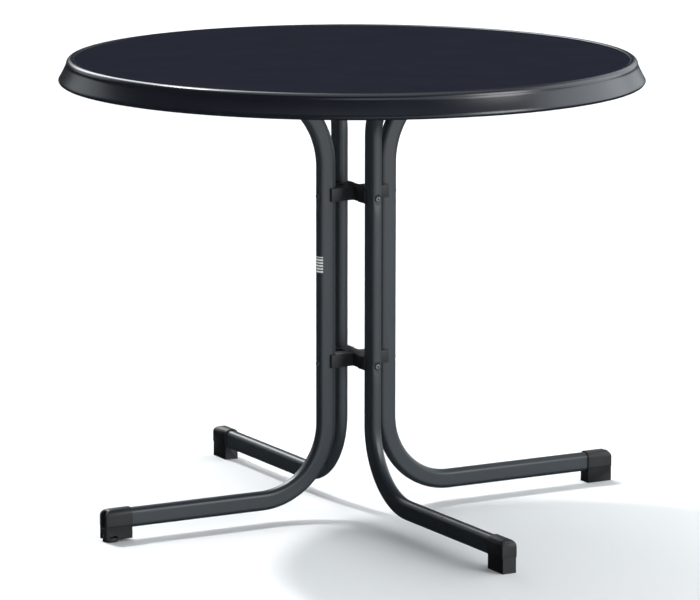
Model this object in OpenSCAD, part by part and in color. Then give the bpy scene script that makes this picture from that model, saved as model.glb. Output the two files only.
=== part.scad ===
// Bistro table: round moulded top on four bent flat-oval legs joined by two cross connectors.
// The top tilts up to vertical on two hinges, and one foot has a screw-in levelling glide.
// Millimetres. Origin on the floor under the centre of the top, +Z up.
// Legs a and b stand on the hinge side (-X), legs c and d on the catch side (+X).

/* [Tabletop] */
// Height of the top surface's raised edge above the floor
table_h = 720; // [700:5:760]
// Radius of the crest of the raised edge bead
bead_r = 434; // [420:1:438]
// Widest radius of the rim, near its lower edge
rim_r = 454; // [440:1:474]
// Thickness of the moulded plate
plate_t = 16.5; // [14:0.5:18]
// Full height of the rim
rim_h = 37.5; // [34:0.5:40]

/* [Legs] */
// How far the base stands off the top's centre, towards the catch side
base_shift = 7; // [0:1:12]
// Radial depth of the leg tube
tube_d = 30; // [28:1:32]
// Width of the leg tube
tube_w = 20; // [19:1:22]
// Corner radius of the leg tube
tube_corner = 8; // [6:0.5:9]
// Wall thickness of the leg tube
tube_wall = 2; // [1.5:0.1:2.2]
// Distance from the table's axis to the centre of each upright
column_r = 54; // [50:0.5:58]
// Distance from the table's axis to the outer end of feet b, c and d
foot_r = 469; // [420:1:480]
// Distance from the table's axis to the outer end of foot a, the one with the glide
foot_r_a = 441; // [410:1:480]
// Height of the centre of the floor runs of the legs
leg_z = 34; // [33:0.5:36]
// Centre-line radius of the lower bends
bend_low = 114; // [90:1:130]
// Centre-line radius of the upper bends of legs a and d
bend_ad = 132; // [100:1:140]
// Centre-line radius of the upper bends of legs b and c
bend_bc = 85; // [70:1:110]
// Outer end of the arms that carry the hinges
arm_ab = 229; // [222:1:240]
// Outer end of the arms that carry the catch saddles
arm_cd = 300; // [280:1:340]

/* [Connectors] */
// Height of the upper connector's underside
conn_up_z = 498; // [440:1:520]
// Height of the lower connector's underside
conn_low_z = 235.5; // [200:1:300]
// Height of each connector
conn_h = 20.5; // [19:0.5:24]
// Height of the bolts above the connector's underside
bolt_up = 8; // [7.5:0.5:10]
// Width of the webs between hub and saddles
web_w = 22; // [16:1:26]
// Diameter of the bolt heads
bolt_head = 9; // [8.5:0.5:10]

/* [Tilting top] */
// Distance from the hinge axis to the arm ends, along X
hinge_reach = 24; // [23:1:27]
// Diameter of the hinge pins
pin_d = 8; // [6:0.5:9]
// Side clearance of the catch saddles on the arms
saddle_gap = 0.8; // [0.7:0.1:1.2]

/* [Feet] */
// Length of the foot caps
cap_l = 44; // [40:1:50]
// Diameter of the levelling glide's disc
glide_d = 24; // [20:1:26]

/* [Hidden] */
$fn = 96;
plate_top = table_h - 1.5;
plate_under = plate_top - plate_t;
arm_z = plate_under - 3 - tube_d / 2;
up_bolt_z = conn_up_z + bolt_up;
low_bolt_z = conn_low_z + 7;
tube_in = column_r - tube_d / 2;
tube_out = column_r + tube_d / 2;
seat_r = tube_out - 1.4;
hinge_x = -(arm_ab * cos(45) + hinge_reach);
hinge_y = arm_ab * sin(45);
run_fit = 0.1;
stop_reach = plate_under - 3 - arm_z - 0.2;
az_a = 225;
az_b = 135;
az_c = -45;
az_d = 45;
saddle_r = 268;
label_z = 386;
label_h = 26;
glide_r = foot_r_a - glide_d / 2;
stud_d = 8;
nut_d = 13;

slate = [0.17, 0.18, 0.21];
anthracite = [0.20, 0.22, 0.25];
black = [0.05, 0.05, 0.06];
zinc = [0.62, 0.63, 0.65];

// ---- shared shapes ----

// places a piece that is laid out round the base's own axis
module at_base() {
    translate([base_shift, 0, 0]) children();
}

// flat-oval outline, d deep along X and w wide along Y
module oval(d, w, r) {
    square([d - 2 * r, w], center = true);
    square([d, w - 2 * r], center = true);
    for (sx = [-1, 1], sy = [-1, 1]) {
        translate([sx * (d / 2 - r), sy * (w / 2 - r)]) circle(r);
    }
}

module tube_wall_outline() {
    difference() {
        oval(tube_d, tube_w, tube_corner);
        oval(tube_d - 2 * tube_wall, tube_w - 2 * tube_wall, tube_corner - tube_wall);
    }
}

// straight run of tube along +X from x0 to x1, its deep side vertical
module run_x(x0, x1, z) {
    translate([x0, 0, z]) rotate([0, 90, 0]) linear_extrude(x1 - x0) tube_wall_outline();
}

// quarter bend whose centre stands at (column_r + radius, z)
module quarter(radius, z, from) {
    translate([column_r + radius, 0, z]) rotate([90, 0, 0])
        rotate_extrude(angle = 90, start = from) translate([radius, 0]) tube_wall_outline();
}

// leg in the XZ plane: foot run, lower bend, upright, upper bend, arm
module leg(bend_up, arm_end, reach) {
    low_z = leg_z + bend_low;
    up_z = arm_z - bend_up;
    color(anthracite) difference() {
        union() {
            run_x(column_r + bend_low, reach - 3.2, leg_z);
            quarter(bend_low, low_z, 180);
            translate([column_r, 0, low_z]) linear_extrude(up_z - low_z) tube_wall_outline();
            quarter(bend_up, up_z, 90);
            run_x(column_r + bend_up, arm_end, arm_z);
        }
        for (z = [up_bolt_z, low_bolt_z]) {
            translate([tube_in - 5, 0, z]) rotate([0, 90, 0]) cylinder(d = 6.4, h = tube_d + 10);
            translate([seat_r, 0, z]) rotate([0, 90, 0]) cylinder(d = 13, h = 5);
        }
    }
}

// ---- tabletop ----

module rim_outline() {
    polygon([[0, plate_under], [bead_r - 18, plate_under],
        [rim_r - 13, table_h - rim_h + 10], [rim_r - 8.9, table_h - rim_h + 4.5],
        [rim_r - 0.1, table_h - rim_h + 4.5], [bead_r + 7.6, table_h - 9.5],
        [bead_r, table_h - 8], [bead_r - 3.6, plate_top], [0, plate_top]]);
    translate([bead_r, table_h - 8]) circle(8);
    translate([rim_r - 4.5, table_h - rim_h + 4.5]) circle(4.5);
}

module tabletop() {
    color(slate) difference() {
        rotate_extrude($fn = 180) rim_outline();
        at_base() bracket_holes(4.1, 13);
        at_base() saddle_holes(4.1, 13);
    }
}

// ---- screws into the top ----

module bracket_holes(d, depth) {
    for (sy = [-1, 1], dx = [-14, 8], dy = [-14, 14]) {
        translate([hinge_x + dx, sy * hinge_y + dy, plate_under - 0.01]) cylinder(d = d, h = depth);
    }
}

module saddle_holes(d, depth) {
    for (a = [az_c, az_d], t = [-20, 20]) {
        rotate(a) translate([saddle_r, t, plate_under - 0.01]) cylinder(d = d, h = depth);
    }
}

module pan_screw(seat_z) {
    translate([0, 0, seat_z - 2.4]) cylinder(d = 8, h = 2.4);
    translate([0, 0, seat_z - 0.5]) cylinder(d = 4, h = 15);
}

module bracket_screws() {
    at_base() color(zinc) for (sy = [-1, 1], dx = [-14, 8], dy = [-14, 14]) {
        translate([hinge_x + dx, sy * hinge_y + dy, 0]) pan_screw(plate_under - 3);
    }
}

module saddle_screws() {
    at_base() color(zinc) for (a = [az_c, az_d], t = [-20, 20]) {
        rotate(a) translate([saddle_r, t, 0]) pan_screw(plate_under - 3);
    }
}

// ---- legs ----

module leg_tube_a() {
    at_base() difference() {
        rotate(az_a) leg(bend_ad, arm_ab, foot_r_a);
        rotate(az_a) translate([glide_r, 0, leg_z - tube_d / 2 - 1]) cylinder(d = stud_d + 1, h = 6);
    }
}

module leg_tube_b() {
    at_base() rotate(az_b) leg(bend_bc, arm_ab, foot_r);
}

module leg_tube_c() {
    at_base() rotate(az_c) leg(bend_bc, arm_cd, foot_r);
}

module leg_tube_d() {
    at_base() rotate(az_d) leg(bend_ad, arm_cd, foot_r);
}

// ---- foot caps ----

module cap_side(reach) {
    top = leg_z + tube_d / 2 + 2;
    difference() {
        translate([reach - cap_l, 0]) square([cap_l, top]);
        translate([reach - 12, top - 12]) difference() {
            square(20);
            circle(12);
        }
    }
}

module cap_section() {
    translate([leg_z, 0]) oval(tube_d + 4, tube_w + 4.4, tube_corner + 2);
    translate([-1, -11.3]) square([leg_z + 1, 22.6]);
}

module cap_body(reach) {
    intersection() {
        translate([0, 50, 0]) rotate([90, 0, 0]) linear_extrude(100) cap_side(reach);
        translate([reach - cap_l - 1, 0, 0])
            multmatrix([[0, 0, 1, 0], [0, 1, 0, 0], [1, 0, 0, 0], [0, 0, 0, 1]])
            linear_extrude(cap_l + 2) cap_section();
    }
}

module tube_pocket(x0, x1) {
    translate([x0, 0, leg_z]) rotate([0, 90, 0]) linear_extrude(x1 - x0)
        oval(tube_d + 0.2, tube_w + 0.2, tube_corner + 0.1);
}

module foot_cap() {
    color(black) difference() {
        cap_body(foot_r);
        tube_pocket(foot_r - cap_l - 2, foot_r - 3);
    }
}

// the cap with the open end, raised off the floor over the glide
module foot_cap_a() {
    at_base() color(black) rotate(az_a) difference() {
        cap_body(foot_r_a);
        tube_pocket(foot_r_a - cap_l - 2, foot_r_a - 3);
        translate([foot_r_a - 10, 0, leg_z]) rotate([0, 90, 0]) linear_extrude(20) oval(26, 13, 4);
        translate([foot_r_a - cap_l - 1, -20, -1]) cube([cap_l + 2, 40, 5]);
        translate([glide_r, 0, -1]) cylinder(d = glide_d + 2, h = 11);
        translate([glide_r, 0, 0]) cylinder(d = nut_d, h = 17);
        translate([glide_r, 0, 0]) cylinder(d = stud_d + 1, h = 30);
    }
}

module foot_cap_b() {
    at_base() rotate(az_b) foot_cap();
}

module foot_cap_c() {
    at_base() rotate(az_c) foot_cap();
}

module foot_cap_d() {
    at_base() rotate(az_d) foot_cap();
}

// ---- levelling glide in foot a ----

module glide_disc() {
    at_base() color(black) rotate(az_a) translate([glide_r, 0, 0]) difference() {
        cylinder(d = glide_d, h = 7);
        translate([0, 0, 3]) cylinder(d = stud_d, h = 5);
    }
}

module glide_stud() {
    at_base() color(zinc) rotate(az_a) translate([glide_r, 0, 3]) cylinder(d = stud_d, h = 37);
}

module glide_nut() {
    at_base() color(zinc) rotate(az_a) translate([glide_r, 0, 11]) difference() {
        cylinder(d = nut_d, h = 6);
        translate([0, 0, -1]) cylinder(d = stud_d + run_fit, h = 8);
    }
}

// ---- connectors ----

// web from the hub to one saddle
module conn_block() {
    translate([0, -web_w / 2, 0]) cube([tube_in - 4, web_w, conn_h]);
    translate([tube_in - 8, -14, 0]) cube([20, 28, conn_h]);
}

// seat of the upright, bolt hole and nut pocket
module conn_cuts(bolt_z) {
    translate([column_r, 0, -1]) linear_extrude(conn_h + 2) oval(tube_d, tube_w + 0.2, tube_corner);
    translate([15.5, 0, bolt_z]) rotate([0, 90, 0]) cylinder(d = 6.4, h = 40);
    translate([22, -5.2, -1]) cube([5.4, 10.4, bolt_z + 7]);
}

module connector(bolt_z) {
    color(black) difference() {
        for (a = [0, 90, 180, 270]) {
            rotate(45 + a) conn_block();
        }
        for (a = [0, 90, 180, 270]) {
            rotate(45 + a) conn_cuts(bolt_z);
        }
    }
}

module connector_upper() {
    at_base() translate([0, 0, conn_up_z]) connector(bolt_up);
}

module connector_lower() {
    at_base() translate([0, 0, conn_low_z]) connector(7);
}

// round-headed socket bolt along X, head seated on the tube
module leg_bolt() {
    difference() {
        union() {
            translate([seat_r, 0, 0]) rotate([0, 90, 0]) cylinder(d = bolt_head, h = 1.6);
            translate([seat_r + 1.6, 0, 0]) rotate([0, 90, 0])
                cylinder(d = bolt_head - 2.4, h = 0.9);
            translate([17, 0, 0]) rotate([0, 90, 0]) cylinder(d = 6, h = seat_r - 16);
        }
        translate([seat_r + 0.6, 0, 0]) rotate([0, 90, 0]) cylinder(d = 4.4, h = 5, $fn = 6);
    }
}

module leg_nut() {
    translate([22.2, 0, 0]) rotate([0, 90, 0]) difference() {
        cylinder(d = 11.4, h = 5, $fn = 6);
        translate([0, 0, -1]) cylinder(d = 6.1, h = 7);
    }
}

module leg_bolts_upper() {
    at_base() color(zinc) for (a = [0, 90, 180, 270]) {
        rotate(45 + a) translate([0, 0, up_bolt_z]) leg_bolt();
    }
}

module leg_bolts_lower() {
    at_base() color(zinc) for (a = [0, 90, 180, 270]) {
        rotate(45 + a) translate([0, 0, low_bolt_z]) leg_bolt();
    }
}

module leg_nuts_upper() {
    at_base() color(zinc) for (a = [0, 90, 180, 270]) {
        rotate(45 + a) translate([0, 0, up_bolt_z]) leg_nut();
    }
}

module leg_nuts_lower() {
    at_base() color(zinc) for (a = [0, 90, 180, 270]) {
        rotate(45 + a) translate([0, 0, low_bolt_z]) leg_nut();
    }
}

// ---- hinges of the tilting top ----

// plug in the end of an arm, with a tongue along -X that carries the pin
module hinge_fitting(az, side) {
    color(black) difference() {
        union() {
            rotate(az) translate([arm_ab - 24, 0, arm_z]) rotate([0, 90, 0]) linear_extrude(24)
                oval(tube_d - 2 * tube_wall - 0.4, tube_w - 2 * tube_wall - 0.4,
                    tube_corner - tube_wall - 0.2);
            rotate(az) translate([arm_ab, 0, arm_z]) rotate([0, 90, 0]) linear_extrude(4)
                oval(tube_d, tube_w, tube_corner);
            translate([hinge_x, side * hinge_y - 4, arm_z - 8]) cube([hinge_reach + 2, 8, 16]);
            translate([hinge_x, side * hinge_y + 4, arm_z]) rotate([90, 0, 0]) cylinder(r = 8, h = 8);
            // heel that meets the bracket when the top stands upright
            translate([hinge_x - stop_reach, side * hinge_y - 4, arm_z - 8]) cube([stop_reach, 8, 10]);
        }
        translate([hinge_x, side * hinge_y + 10, arm_z]) rotate([90, 0, 0])
            cylinder(d = pin_d + run_fit, h = 20);
    }
}

module hinge_fitting_a() {
    at_base() hinge_fitting(az_a, -1);
}

module hinge_fitting_b() {
    at_base() hinge_fitting(az_b, 1);
}

// plate under the top with two ears that hold the pin
module hinge_bracket(side) {
    color(zinc) difference() {
        union() {
            translate([hinge_x - 20, side * hinge_y - 20, plate_under - 3]) cube([34, 40, 3]);
            for (y = [-7.4, 4.4]) {
                translate([hinge_x - 9, side * hinge_y + y, arm_z]) cube([18, 3, plate_under - arm_z - 1]);
                translate([hinge_x, side * hinge_y + y + 3, arm_z]) rotate([90, 0, 0])
                    cylinder(r = 9, h = 3);
            }
        }
        translate([hinge_x, side * hinge_y + 12, arm_z]) rotate([90, 0, 0])
            cylinder(d = pin_d + run_fit, h = 24);
        for (dx = [-14, 8], dy = [-14, 14]) {
            translate([hinge_x + dx, side * hinge_y + dy, plate_under - 10]) cylinder(d = 4.2, h = 20);
        }
    }
}

module hinge_bracket_a() {
    at_base() hinge_bracket(-1);
}

module hinge_bracket_b() {
    at_base() hinge_bracket(1);
}

module hinge_pins() {
    at_base() color(zinc) for (side = [-1, 1]) {
        translate([hinge_x, side * hinge_y + 9, arm_z]) rotate([90, 0, 0]) cylinder(d = pin_d, h = 18);
        translate([hinge_x, side * hinge_y - 7.6, arm_z]) rotate([90, 0, 0]) cylinder(d = pin_d + 4, h = 2);
    }
}

// ---- catch saddles that drop over the arms of legs c and d ----

module catch_saddle() {
    half = tube_w / 2 + saddle_gap;
    color(black) difference() {
        translate([saddle_r - 20, -half - 3, arm_z]) cube([40, 2 * half + 6, plate_under - arm_z]);
        translate([saddle_r - 30, -half, arm_z - 1]) cube([60, 2 * half, tube_d / 2 + 1.2]);
    }
    color(black) difference() {
        translate([saddle_r - 7, -27, plate_under - 3]) cube([14, 54, 3]);
        translate([saddle_r - 8, -half - 1, plate_under - 10]) cube([16, 2 * half + 2, 20]);
        for (t = [-20, 20]) {
            translate([saddle_r, t, plate_under - 10]) cylinder(d = 4.2, h = 20);
        }
    }
}

module catch_saddle_c() {
    at_base() rotate(az_c) catch_saddle();
}

module catch_saddle_d() {
    at_base() rotate(az_d) catch_saddle();
}

module arm_plug() {
    color(black) {
        translate([arm_cd, 0, arm_z]) rotate([0, 90, 0]) linear_extrude(3)
            oval(tube_d, tube_w, tube_corner);
        translate([arm_cd - 16, 0, arm_z]) rotate([0, 90, 0]) linear_extrude(16)
            oval(tube_d - 2 * tube_wall - 0.4, tube_w - 2 * tube_wall - 0.4,
                tube_corner - tube_wall - 0.2);
    }
}

module arm_plug_c() {
    at_base() rotate(az_c) arm_plug();
}

module arm_plug_d() {
    at_base() rotate(az_d) arm_plug();
}

// ---- plain sticker wrapped on the outward face of leg a ----

module blank_label() {
    at_base() color([0.93, 0.93, 0.91]) rotate(az_a) translate([column_r, 0, label_z])
        linear_extrude(label_h) intersection() {
            difference() {
                oval(tube_d + 0.5, tube_w + 0.5, tube_corner + 0.25);
                oval(tube_d, tube_w, tube_corner);
            }
            translate([tube_d / 2 - 5, -20]) square(40);
        }
}

tabletop();
leg_tube_a();
leg_tube_b();
leg_tube_c();
leg_tube_d();
foot_cap_a();
foot_cap_b();
foot_cap_c();
foot_cap_d();
connector_upper();
connector_lower();
leg_bolts_upper();
leg_bolts_lower();
leg_nuts_upper();
leg_nuts_lower();
hinge_fitting_a();
hinge_fitting_b();
hinge_bracket_a();
hinge_bracket_b();
hinge_pins();
bracket_screws();
catch_saddle_c();
catch_saddle_d();
saddle_screws();
arm_plug_c();
arm_plug_d();
glide_disc();
glide_stud();
glide_nut();
blank_label();
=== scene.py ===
import bpy
import bmesh
import math
from mathutils import Vector, Matrix


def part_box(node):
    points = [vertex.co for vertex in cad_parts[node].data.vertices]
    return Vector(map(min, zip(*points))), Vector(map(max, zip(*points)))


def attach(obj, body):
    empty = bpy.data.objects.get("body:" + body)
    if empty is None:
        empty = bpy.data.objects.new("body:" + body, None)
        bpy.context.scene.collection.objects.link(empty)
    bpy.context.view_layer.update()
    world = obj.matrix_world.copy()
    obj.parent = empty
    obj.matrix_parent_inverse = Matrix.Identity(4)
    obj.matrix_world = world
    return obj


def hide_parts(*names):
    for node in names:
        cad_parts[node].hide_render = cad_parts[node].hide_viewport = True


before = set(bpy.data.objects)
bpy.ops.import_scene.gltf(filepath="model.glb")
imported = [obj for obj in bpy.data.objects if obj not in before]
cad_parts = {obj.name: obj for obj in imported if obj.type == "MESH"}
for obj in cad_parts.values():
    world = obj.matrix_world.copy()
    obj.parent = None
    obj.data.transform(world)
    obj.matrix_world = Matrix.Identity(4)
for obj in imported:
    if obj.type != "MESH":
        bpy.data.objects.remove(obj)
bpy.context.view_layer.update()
print("frame loaded")

cos45 = math.cos(math.radians(45))
hubLow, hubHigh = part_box("connector_upper")
baseX = (hubLow.x + hubHigh.x) / 2  # the base stands a little off the top's centre


def addObject(name, verts, faces, materials, faceMaterial=None):
    mesh = bpy.data.meshes.new(name)
    mesh.from_pydata([tuple(v) for v in verts], [], faces)
    mesh.validate()
    obj = bpy.data.objects.new(name, mesh)
    bpy.context.scene.collection.objects.link(obj)
    for mat in materials:
        mesh.materials.append(mat)
    for i, poly in enumerate(mesh.polygons):
        poly.use_smooth = True
        if faceMaterial:
            poly.material_index = faceMaterial[i]
    return obj


def sharpen(obj, angle):
    # smooth shading with hard edges only where the faces really turn
    bm = bmesh.new()
    bm.from_mesh(obj.data)
    bmesh.ops.remove_doubles(bm, verts=bm.verts, dist=1e-6)
    bmesh.ops.recalc_face_normals(bm, faces=bm.faces)
    for edge in bm.edges:
        edge.smooth = edge.is_manifold and edge.calc_face_angle(0) < math.radians(angle)
    for face in bm.faces:
        face.smooth = True
    bm.to_mesh(obj.data)
    bm.free()


def fromNode(node, name, bevel, material, segments=3, angle=32):
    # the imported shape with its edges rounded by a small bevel
    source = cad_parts[node]
    bm = bmesh.new()
    bm.from_mesh(source.data)
    bmesh.ops.remove_doubles(bm, verts=bm.verts, dist=1e-6)
    bmesh.ops.dissolve_limit(bm, angle_limit=math.radians(1.5), verts=bm.verts, edges=bm.edges)
    bmesh.ops.recalc_face_normals(bm, faces=bm.faces)
    hard = [e for e in bm.edges if e.is_manifold and e.calc_face_angle(0) > math.radians(angle)]
    if bevel > 0:
        bmesh.ops.bevel(bm, geom=hard, offset=bevel, segments=segments, profile=0.5,
                        affect="EDGES", clamp_overlap=True)
    mesh = bpy.data.meshes.new(name)
    bm.to_mesh(mesh)
    bm.free()
    obj = bpy.data.objects.new(name, mesh)
    bpy.context.scene.collection.objects.link(obj)
    mesh.materials.append(material)
    sharpen(obj, 40)
    return obj


def place(obj, node, body):
    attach(obj, body)
    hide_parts(node)
    return obj


def lathe(profile, segments):
    # profile is a closed loop of (radius, z), turned round the z axis; no faces lie on the axis
    verts, faces = [], []
    n = len(profile)
    for s in range(segments):
        a = 2 * math.pi * s / segments
        verts += [Vector((r * math.cos(a), r * math.sin(a), z)) for r, z in profile]
    for s in range(segments):
        t = (s + 1) % segments
        for i in range(n):
            j = (i + 1) % n
            if profile[i][0] > 0 or profile[j][0] > 0:
                faces.append((s * n + i, t * n + i, t * n + j, s * n + j))
    return verts, faces


def arc(cx, cz, r, start, end, steps):
    out = []
    for i in range(steps + 1):
        a = math.radians(start + (end - start) * i / steps)
        out.append((cx + r * math.cos(a), cz + r * math.sin(a)))
    return out


def newMaterial(name):
    mat = bpy.data.materials.new(name)
    mat.use_nodes = True
    nodes = mat.node_tree.nodes
    return mat, nodes, mat.node_tree.links, nodes["Principled BSDF"]


def speckle(name, look):
    # base colour broken up by fine noise, roughness varied a little, grain in the bump
    mat, nodes, links, shader = newMaterial(name)
    where = nodes.new("ShaderNodeTexCoord")
    fine = nodes.new("ShaderNodeTexNoise")
    fine.inputs["Scale"].default_value = look["grainScale"]
    fine.inputs["Detail"].default_value = 3
    links.new(where.outputs["Object"], fine.inputs["Vector"])
    wide = nodes.new("ShaderNodeTexNoise")
    wide.inputs["Scale"].default_value = look["patchScale"]
    links.new(where.outputs["Object"], wide.inputs["Vector"])
    colours = nodes.new("ShaderNodeMix")
    colours.data_type = "RGBA"
    colours.inputs["A"].default_value = (*look["dark"], 1)
    colours.inputs["B"].default_value = (*look["light"], 1)
    both = nodes.new("ShaderNodeMath")
    both.operation = "MULTIPLY_ADD"
    both.inputs[1].default_value = look["patchShare"]
    links.new(wide.outputs["Fac"], both.inputs[0])
    links.new(fine.outputs["Fac"], both.inputs[2])
    spread = nodes.new("ShaderNodeMapRange")
    spread.inputs["From Min"].default_value = 0.3
    spread.inputs["From Max"].default_value = 0.75 + look["patchShare"] * 0.5
    links.new(both.outputs[0], spread.inputs["Value"])
    links.new(spread.outputs["Result"], colours.inputs["Factor"])
    links.new(colours.outputs["Result"], shader.inputs["Base Color"])
    rough = nodes.new("ShaderNodeMapRange")
    rough.inputs["To Min"].default_value = look["rough"] - look["roughVary"]
    rough.inputs["To Max"].default_value = look["rough"] + look["roughVary"]
    links.new(wide.outputs["Fac"], rough.inputs["Value"])
    links.new(rough.outputs["Result"], shader.inputs["Roughness"])
    bump = nodes.new("ShaderNodeBump")
    bump.inputs["Strength"].default_value = look["bump"]
    bump.inputs["Distance"].default_value = look["bumpDepth"]
    links.new(fine.outputs["Fac"], bump.inputs["Height"])
    links.new(bump.outputs["Normal"], shader.inputs["Normal"])
    shader.inputs["Metallic"].default_value = look.get("metal", 0)
    shader.inputs["Specular IOR Level"].default_value = look.get("specular", 0.5)
    return mat


topLook = {  # fine-grained dark slate surface
    "dark": (0.010, 0.0112, 0.0165), "light": (0.018, 0.0195, 0.028),
    "grainScale": 900, "patchScale": 14, "patchShare": 0.35,
    "rough": 0.8, "roughVary": 0.05, "bump": 0.35, "bumpDepth": 0.0004, "specular": 0.0}
rimLook = {  # smooth satin moulding round the edge
    "dark": (0.007, 0.009, 0.014), "light": (0.011, 0.013, 0.019),
    "grainScale": 1400, "patchScale": 10, "patchShare": 0.4,
    "rough": 0.25, "roughVary": 0.03, "bump": 0.06, "bumpDepth": 0.0002, "specular": 0.5}
legLook = {  # iron grey satin powder coat
    "dark": (0.016, 0.021, 0.026), "light": (0.026, 0.033, 0.040),
    "grainScale": 1100, "patchScale": 18, "patchShare": 0.4,
    "rough": 0.36, "roughVary": 0.04, "bump": 0.12, "bumpDepth": 0.0002, "specular": 0.5}
plasticLook = {  # black moulded plastic with a fine sand finish
    "dark": (0.006, 0.006, 0.007), "light": (0.013, 0.013, 0.015),
    "grainScale": 1600, "patchScale": 25, "patchShare": 0.3,
    "rough": 0.5, "roughVary": 0.05, "bump": 0.2, "bumpDepth": 0.0002, "specular": 0.45}
steelLook = {  # zinc plated steel
    "dark": (0.36, 0.37, 0.39), "light": (0.50, 0.51, 0.53),
    "grainScale": 700, "patchScale": 60, "patchShare": 0.5,
    "rough": 0.34, "roughVary": 0.06, "bump": 0.05, "bumpDepth": 0.0001, "metal": 1.0}
boltLook = {  # duller grey coated bolts
    "dark": (0.10, 0.11, 0.12), "light": (0.17, 0.18, 0.19),
    "grainScale": 900, "patchScale": 80, "patchShare": 0.5,
    "rough": 0.42, "roughVary": 0.05, "bump": 0.05, "bumpDepth": 0.0001, "metal": 0.8}
labelLook = {  # plain semi-matt sticker
    "dark": (0.74, 0.75, 0.73), "light": (0.84, 0.84, 0.82),
    "grainScale": 500, "patchScale": 90, "patchShare": 0.5,
    "rough": 0.45, "roughVary": 0.05, "bump": 0.03, "bumpDepth": 0.0001}

topSurface = speckle("topSurface", topLook)
rimSurface = speckle("rimSurface", rimLook)
legPaint = speckle("legPaint", legLook)
blackPlastic = speckle("blackPlastic", plasticLook)
greySteel = speckle("greySteel", steelLook)
boltSteel = speckle("boltSteel", boltLook)
labelFilm = speckle("labelFilm", labelLook)


labelBars = {"spacing": 0.0046, "share": 0.5, "tone": (0.09, 0.10, 0.10)}  # plain bars, no lettering


def addBars(mat):
    nodes, links = mat.node_tree.nodes, mat.node_tree.links
    shader = nodes["Principled BSDF"]
    paper = shader.inputs["Base Color"].links[0].from_socket
    where = nodes.new("ShaderNodeTexCoord")
    split = nodes.new("ShaderNodeSeparateXYZ")
    links.new(where.outputs["Object"], split.inputs["Vector"])
    steps = nodes.new("ShaderNodeMath")
    steps.operation = "PINGPONG"
    steps.inputs[1].default_value = labelBars["spacing"] / 2
    links.new(split.outputs["Z"], steps.inputs[0])
    ink = nodes.new("ShaderNodeMath")
    ink.operation = "LESS_THAN"
    ink.inputs[1].default_value = labelBars["spacing"] / 2 * labelBars["share"]
    links.new(steps.outputs[0], ink.inputs[0])
    both = nodes.new("ShaderNodeMix")
    both.data_type = "RGBA"
    both.inputs["B"].default_value = (*labelBars["tone"], 1)
    links.new(ink.outputs[0], both.inputs["Factor"])
    links.new(paper, both.inputs["A"])
    links.new(both.outputs["Result"], shader.inputs["Base Color"])


addBars(labelFilm)
print("materials done")


def buildTabletop():
    top = {"beadBack": 0.020, "beadRadius": 0.008, "beadProud": 0.0015, "beadFillet": 0.0012,
           "lipRadius": 0.0045, "lipThick": 0.009, "plate": 0.0165, "plateEdge": 0.0388,
           "flareHollow": 0.0004, "flareSteps": 9, "segments": 288}
    lo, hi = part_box("tabletop")
    rimR, crest, under = hi.x, hi.z, lo.z
    plateZ = crest - top["beadProud"]
    plateUnder = plateZ - top["plate"]
    beadC = rimR - top["beadBack"]
    beadZ = crest - top["beadRadius"]
    lipC = rimR - top["lipRadius"]
    lipZ = under + top["lipRadius"]
    inner = math.degrees(math.acos(-math.sqrt(1 - ((plateZ - beadZ) / top["beadRadius"]) ** 2)))
    fillet = top["beadFillet"]
    profile = []
    # plate surface, from the middle outwards, then a small fillet up to the bead
    flat = [0, 0.05, 0.12, 0.2, 0.28, 0.35, 0.40, 0.415, 0.421]
    profile += [(r, plateZ) for r in flat if r < beadC - 0.008]
    edgeR = beadC + top["beadRadius"] * math.cos(math.radians(inner))
    profile.append((edgeR - fillet, plateZ))
    profile.append((edgeR - fillet * 0.3, plateZ + 0.0001))
    split = len(profile) - 1
    profile += arc(beadC, beadZ, top["beadRadius"], inner - 4, -6, 22)
    # flare down to the lip, very slightly hollow
    start, end = profile[-1], (rimR - 0.0001, lipZ + 0.0006)
    for i in range(1, top["flareSteps"]):
        f = i / top["flareSteps"]
        hollow = top["flareHollow"] * math.sin(math.pi * f)
        profile.append((start[0] + (end[0] - start[0]) * f - hollow, start[1] + (end[1] - start[1]) * f))
    profile += arc(lipC, lipZ, top["lipRadius"], 4, -184, 18)
    # inside of the lip and the underside of the plate
    innerLip = rimR - top["lipThick"]
    profile += [(innerLip, lipZ + 0.002), (rimR - 0.0112, lipZ + 0.004), (rimR - 0.0130, lipZ + 0.0055),
                (rimR - 0.0372, plateUnder - 0.0003), (rimR - top["plateEdge"], plateUnder),
                (rimR - 0.0420, plateUnder), (rimR - 0.09, plateUnder), (0.25, plateUnder),
                (0.12, plateUnder), (0, plateUnder)]
    verts, faces = lathe(profile, top["segments"])
    n = len(profile)
    ring = n - 1  # the closing side on the axis has no face
    faceMaterial = [0 if (i % ring) < split else 1 for i in range(len(faces))]
    obj = addObject("tableTop", verts, faces, [topSurface, rimSurface], faceMaterial)
    sharpen(obj, 35)
    return place(obj, "tabletop", "top")


buildTabletop()
print("tabletop done")


legShape = {"depth": 0.030, "width": 0.020, "corner": 0.008, "wall": 0.002,
            "columnR": 0.054, "bendLow": 0.114, "dimpleWide": 0.0062, "dimpleDeep": 0.0014,
            "dimpleTail": 0.013, "armShort": 0.229, "armLong": 0.300, "bendWide": 0.132,
            "bendTight": 0.085, "bendSteps": 28}


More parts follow.
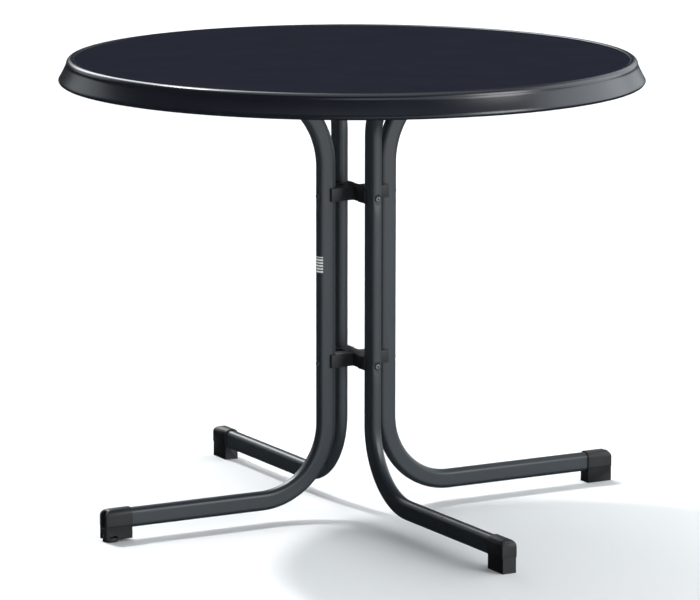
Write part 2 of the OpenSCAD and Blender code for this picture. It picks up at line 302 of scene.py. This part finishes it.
def ovalLoop(d, w, r, straight=5, corner=9):
    # closed loop of (deep, wide) points round the flat-oval section
    out = []
    quadrants = [(1, 1, 0), (-1, 1, 90), (-1, -1, 180), (1, -1, 270)]
    for sx, sy, a0 in quadrants:
        cx, cy = sx * (d / 2 - r), sy * (w / 2 - r)
        out += [(cx + r * math.cos(math.radians(a0 + 90 * i / corner)),
                 cy + r * math.sin(math.radians(a0 + 90 * i / corner))) for i in range(corner + 1)]
        # points along the straight that follows this corner
        nx, ny, na = quadrants[(a0 // 90 + 1) % 4]
        ex, ey = out[-1]
        fx = nx * (d / 2 - r) + r * math.cos(math.radians(na))
        fy = ny * (w / 2 - r) + r * math.sin(math.radians(na))
        out += [(ex + (fx - ex) * k / straight, ey + (fy - ey) * k / straight) for k in range(1, straight)]
    return out


def legPath(bendUp, footEnd, armEnd, lowZ, armZ, boltZs):
    # stations of (point, outward normal in the leg's plane), from the foot to the arm
    c, low, steps = legShape["columnR"], legShape["bendLow"], legShape["bendSteps"]
    out = []
    for i in range(13):
        r = footEnd + (c + low - footEnd) * i / 12
        out.append(((r, lowZ), (0, 1)))
    for i in range(1, steps + 1):
        a = math.radians(90 * i / steps)
        out.append(((c + low - low * math.sin(a), lowZ + low - low * math.cos(a)),
                    (math.sin(a), math.cos(a))))
    zs, z0, z1 = set(), lowZ + low, armZ - bendUp
    for k in range(1, 31):
        zs.add(round(z0 + (z1 - z0) * k / 30, 5))
    for b in boltZs:
        for k in range(-10, 21):
            zs.add(round(b + k * 0.001, 5))
    last = None
    for z in sorted(zs):
        if z <= z0 or z > z1 or (last is not None and z - last < 0.0006 and z < z1):
            continue
        out.append(((c, z), (1, 0)))
        last = z
    for i in range(1, steps + 1):
        a = math.radians(90 * i / steps)
        out.append(((c + bendUp - bendUp * math.cos(a), z1 + bendUp * math.sin(a)),
                    (math.cos(a), -math.sin(a))))
    for i in range(1, 9):
        out.append(((c + bendUp + (armEnd - c - bendUp) * i / 8, armZ), (0, -1)))
    return out


def buildLeg(letter, azimuth, bendUp, armEnd, boltZs):
    node = "leg_tube_" + letter
    lo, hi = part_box(node)
    d, w = legShape["depth"], legShape["width"]
    lowZ, armZ = lo.z + d / 2, hi.z - d / 2
    reach = max(abs(lo.y), abs(hi.y)) / cos45 - w / 2
    path = legPath(bendUp, reach, armEnd, lowZ, armZ, boltZs)
    outer = ovalLoop(d, w, legShape["corner"])
    wall = legShape["wall"]
    inner = ovalLoop(d - 2 * wall, w - 2 * wall, legShape["corner"] - wall)
    n = len(outer)
    ca, sa = math.cos(math.radians(azimuth)), math.sin(math.radians(azimuth))
    verts, faces = [], []
    for loop, isOuter in ((outer, True), (inner, False)):
        for (r, z), (nr, nz) in path:
            for u, t in loop:
                press = 0
                if isOuter and u > 0.008 and abs(nr - 1) < 1e-6:
                    for b in boltZs:
                        # round seat for the head, drawn out downwards into a short tail
                        dz = z - b
                        length = legShape["dimpleWide"] if dz > 0 else legShape["dimpleTail"]
                        q = math.sqrt((t / legShape["dimpleWide"]) ** 2 + (dz / length) ** 2)
                        seat = max(0, min(1, (1.25 - q) / 0.45))
                        press = max(press, seat * seat * (3 - 2 * seat))
                uu = u - press * max(0, u - (d / 2 - legShape["dimpleDeep"]))
                rr, zz = r + nr * uu, z + nz * uu
                verts.append(Vector((baseX + rr * ca - t * sa, rr * sa + t * ca, zz)))
    count = len(path)
    for layer in (0, 1):
        base = layer * count * n
        for s in range(count - 1):
            for i in range(n):
                j = (i + 1) % n
                quad = (base + s * n + i, base + s * n + j, base + (s + 1) * n + j, base + (s + 1) * n + i)
                faces.append(quad if layer == 0 else quad[::-1])
    for s in (0, count - 1):
        for i in range(n):
            j = (i + 1) % n
            faces.append((s * n + i, s * n + j, (count + s) * n + j, (count + s) * n + i))
    obj = addObject("legTube" + letter.upper(), verts, faces, [legPaint])
    sharpen(obj, 50)
    return place(obj, node, "base")


boltsUp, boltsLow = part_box("leg_bolts_upper"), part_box("leg_bolts_lower")
boltZs = [(boltsUp[0].z + boltsUp[1].z) / 2, (boltsLow[0].z + boltsLow[1].z) / 2]
legs = [  # letter, azimuth, upper bend, end of the arm
    ("a", 225, "bendWide", "armShort"), ("b", 135, "bendTight", "armShort"),
    ("c", -45, "bendTight", "armLong"), ("d", 45, "bendWide", "armLong"),
]
for letter, azimuth, bend, arm in legs:
    buildLeg(letter, azimuth, legShape[bend], legShape[arm], boltZs)
print("legs done")


def buildBolts(node, name, z):
    bolt = {"headR": 0.0045, "headH": 0.0025, "hexFlat": 0.0015, "socketDeep": 0.0018, "shankR": 0.003}
    seat = legShape["columnR"] + legShape["depth"] / 2 - legShape["dimpleDeep"]
    head = seat + bolt["headH"]
    rings = [(0.017, bolt["shankR"] * 0.8), (0.0176, bolt["shankR"]), (seat, bolt["shankR"]),
             (seat, bolt["headR"] * 0.96), (seat + 0.0004, bolt["headR"])]
    for i in range(1, 9):
        a = math.radians(90 * i / 8)
        rings.append((seat + 0.0009 + (bolt["headH"] - 0.0009) * math.sin(a),
                      bolt["headR"] - (bolt["headR"] - 0.0024) * (1 - math.cos(a))))
    steps = 48
    verts, faces = [], []
    for k in range(4):
        a = math.radians(45 + 90 * k)
        base = len(verts)
        loops = [[(x, r, r) for _ in range(steps)] for x, r in rings]
        hexLoop = []
        for s in range(steps):
            t = (360 * s / steps) % 60 - 30
            hexLoop.append(bolt["hexFlat"] / math.cos(math.radians(t)))
        loops.append([(head - 0.0001, r + 0.00025, 0) for r in hexLoop])
        loops.append([(head - 0.0004, r, 0) for r in hexLoop])
        loops.append([(head - bolt["socketDeep"], r, 0) for r in hexLoop])
        loops.append([(head - bolt["socketDeep"] - 0.0005, r * 0.4, 0) for r in hexLoop])
        for loop in loops:
            for s in range(steps):
                th = 2 * math.pi * s / steps
                x, r = loop[s][0], loop[s][1]
                ty, tz = r * math.cos(th), r * math.sin(th)
                verts.append(Vector((baseX + x * math.cos(a) - ty * math.sin(a),
                                     x * math.sin(a) + ty * math.cos(a), z + tz)))
        for q in range(len(loops) - 1):
            for s in range(steps):
                t = (s + 1) % steps
                faces.append((base + q * steps + s, base + q * steps + t,
                              base + (q + 1) * steps + t, base + (q + 1) * steps + s))
        faces.append(tuple(base + s for s in range(steps))[::-1])
        last = base + (len(loops) - 1) * steps
        faces.append(tuple(last + s for s in range(steps)))
    obj = addObject(name, verts, faces, [boltSteel])
    sharpen(obj, 38)
    return place(obj, node, "base")


buildBolts("leg_bolts_upper", "legBoltsUpper", boltZs[0])
buildBolts("leg_bolts_lower", "legBoltsLower", boltZs[1])
print("bolts done")


smallPieces = [  # node, name, bevel in metres, material, body, slot
    ("foot_cap_a", "footCapA", 0.0011, blackPlastic, "base", "black_plastic"),
    ("foot_cap_b", "footCapB", 0.0011, blackPlastic, "base", "black_plastic"),
    ("foot_cap_c", "footCapC", 0.0011, blackPlastic, "base", "black_plastic"),
    ("foot_cap_d", "footCapD", 0.0011, blackPlastic, "base", "black_plastic"),
    ("connector_upper", "connectorUpper", 0.0007, blackPlastic, "base", "black_plastic"),
    ("connector_lower", "connectorLower", 0.0007, blackPlastic, "base", "black_plastic"),
    ("leg_nuts_upper", "legNutsUpper", 0.0003, greySteel, "base", "grey_steel"),
    ("leg_nuts_lower", "legNutsLower", 0.0003, greySteel, "base", "grey_steel"),
    ("hinge_fitting_a", "hingeFittingA", 0.0006, blackPlastic, "base", "black_plastic"),
    ("hinge_fitting_b", "hingeFittingB", 0.0006, blackPlastic, "base", "black_plastic"),
    ("hinge_bracket_a", "hingeBracketA", 0.0005, greySteel, "top", "grey_steel"),
    ("hinge_bracket_b", "hingeBracketB", 0.0005, greySteel, "top", "grey_steel"),
    ("hinge_pins", "hingePins", 0.0005, greySteel, "top", "grey_steel"),
    ("bracket_screws", "bracketScrews", 0.0005, greySteel, "top", "grey_steel"),
    ("catch_saddle_c", "catchSaddleC", 0.0006, blackPlastic, "top", "black_plastic"),
    ("catch_saddle_d", "catchSaddleD", 0.0006, blackPlastic, "top", "black_plastic"),
    ("saddle_screws", "saddleScrews", 0.0005, greySteel, "top", "grey_steel"),
    ("arm_plug_c", "armPlugC", 0.0006, blackPlastic, "base", "black_plastic"),
    ("arm_plug_d", "armPlugD", 0.0006, blackPlastic, "base", "black_plastic"),
    ("glide_disc", "glideDisc", 0.0010, blackPlastic, "glide", "black_plastic"),
    ("glide_stud", "glideStud", 0.0005, greySteel, "glide", "grey_steel"),
    ("glide_nut", "glideNut", 0.0004, greySteel, "base", "grey_steel"),
    ("blank_label", "blankLabel", 0.0, labelFilm, "base", "label_film"),
]
for node, name, bevel, material, body, slot in smallPieces:
    place(fromNode(node, name, bevel, material), node, body)
print("small pieces done")


def buildStage():
    room = {"floorSize": 60.0, "floorColour": (0.86, 0.87, 0.88), "sun": 1.8, "sunAngle": 4.0,
            "sunFrom": (-0.36, 0.40, 0.72), "turn": 15.9,
            "ceilingFrom": 0.68, "ceilingTo": 0.95, "ceiling": 1.15, "dim": 0.02}
    panels = [  # azimuth, elevation, inner and outer half angle in degrees, brightness
        (-36, -4, 20, 42, 1.3), (-82, -6, 8, 24, 1.8), (24, 20, 18, 36, 2.4), (62, 16, 10, 24, 1.2),
        (112, 26, 5, 15, 6.5), (113, 38, 5, 15, 6.5), (114, 50, 5, 15, 6.5), (134, 20, 8, 22, 0.9),
    ]
    mat, nodes, links, shader = newMaterial("floorPaper")
    noise = nodes.new("ShaderNodeTexNoise")
    noise.inputs["Scale"].default_value = 3
    tone = nodes.new("ShaderNodeMapRange")
    tone.inputs["To Min"].default_value = 0.92
    tone.inputs["To Max"].default_value = 0.96
    shade = nodes.new("ShaderNodeMix")
    shade.data_type = "RGBA"
    shade.inputs["A"].default_value = (*room["floorColour"], 1)
    shade.inputs["B"].default_value = (0.9, 0.9, 0.9, 1)
    links.new(noise.outputs["Fac"], tone.inputs["Value"])
    links.new(tone.outputs["Result"], shade.inputs["Factor"])
    links.new(shade.outputs["Result"], shader.inputs["Base Color"])
    shader.inputs["Roughness"].default_value = 0.9
    shader.inputs["Specular IOR Level"].default_value = 0.1
    s = room["floorSize"] / 2
    corners = [(-s, -s, 0), (s, -s, 0), (s, s, 0), (-s, s, 0)]
    floor = addObject("studioFloor", corners, [(0, 1, 2, 3)], [mat])
    floor.visible_glossy = False  # keeps the bright floor out of the dark sides of the legs

    # lights and panels are placed in a frame turned to face the table
    turn = Matrix.Rotation(math.radians(room["turn"]), 3, "Z")

    def aim(obj, where, at):
        obj.location = turn @ Vector(where)
        obj.rotation_mode = "QUATERNION"
        obj.rotation_quaternion = (turn @ Vector(at) - obj.location).to_track_quat("-Z", "Y")

    sun = bpy.data.lights.new("keySun", "SUN")
    sun.energy = room["sun"]
    sun.angle = math.radians(room["sunAngle"])
    sunObj = bpy.data.objects.new("keySun", sun)
    bpy.context.scene.collection.objects.link(sunObj)
    aim(sunObj, room["sunFrom"], (0, 0, 0))

    box = {"place": (2.3, -1.45, 1.35), "aim": (0, 0, 0.6), "wide": 1.0, "tall": 1.5, "power": 34}
    data = bpy.data.lights.new("rightBox", "AREA")
    data.shape = "RECTANGLE"
    data.size = box["wide"]
    data.size_y = box["tall"]
    data.energy = box["power"]
    boxObj = bpy.data.objects.new("rightBox", data)
    bpy.context.scene.collection.objects.link(boxObj)
    aim(boxObj, box["place"], box["aim"])

    # dim room with a pale ceiling and a few soft panels round the table, two of them below eye level
    world = bpy.data.worlds.new("studio")
    bpy.context.scene.world = world
    world.use_nodes = True
    wn, wl = world.node_tree.nodes, world.node_tree.links
    back = wn["Background"]
    where = wn.new("ShaderNodeTexCoord")
    spin = wn.new("ShaderNodeMapping")
    spin.inputs["Rotation"].default_value = (0, 0, math.radians(-room["turn"]))
    parts = wn.new("ShaderNodeSeparateXYZ")
    wl.new(where.outputs["Generated"], spin.inputs["Vector"])
    wl.new(spin.outputs["Vector"], parts.inputs["Vector"])
    up = wn.new("ShaderNodeMapRange")
    up.interpolation_type = "SMOOTHSTEP"
    up.inputs["From Min"].default_value = room["ceilingFrom"]
    up.inputs["From Max"].default_value = room["ceilingTo"]
    up.inputs["To Min"].default_value = room["dim"]
    up.inputs["To Max"].default_value = room["ceiling"]
    wl.new(parts.outputs["Z"], up.inputs["Value"])
    total = up.outputs["Result"]
    for az, el, inner, outer, glow in panels:
        a, e = math.radians(az), math.radians(el)
        toward = wn.new("ShaderNodeVectorMath")
        toward.operation = "DOT_PRODUCT"
        toward.inputs[1].default_value = (math.cos(a) * math.cos(e), math.sin(a) * math.cos(e), math.sin(e))
        wl.new(spin.outputs["Vector"], toward.inputs[0])
        fade = wn.new("ShaderNodeMapRange")
        fade.interpolation_type = "SMOOTHSTEP"
        fade.inputs["From Min"].default_value = math.cos(math.radians(outer))
        fade.inputs["From Max"].default_value = math.cos(math.radians(inner))
        fade.inputs["To Min"].default_value = 0
        fade.inputs["To Max"].default_value = glow
        wl.new(toward.outputs["Value"], fade.inputs["Value"])
        add = wn.new("ShaderNodeMath")
        add.operation = "MAXIMUM"
        wl.new(total, add.inputs[0])
        wl.new(fade.outputs["Result"], add.inputs[1])
        total = add.outputs[0]
    wl.new(total, back.inputs["Strength"])
    back.inputs["Color"].default_value = (0.91, 0.965, 1.0, 1)

    cam = bpy.data.cameras.new("camera")
    cam.lens = 216.8
    cam.sensor_width = 36
    cam.clip_end = 100
    camObj = bpy.data.objects.new("camera", cam)
    bpy.context.scene.collection.objects.link(camObj)
    camObj.location = (baseX + 1.7791, -6.2339, 1.5197)
    camObj.rotation_euler = (math.radians(79.663), math.radians(-0.061), math.radians(16.023))
    bpy.context.scene.camera = camObj
    bpy.context.scene.view_settings.view_transform = "Standard"


buildStage()
print("stage done")
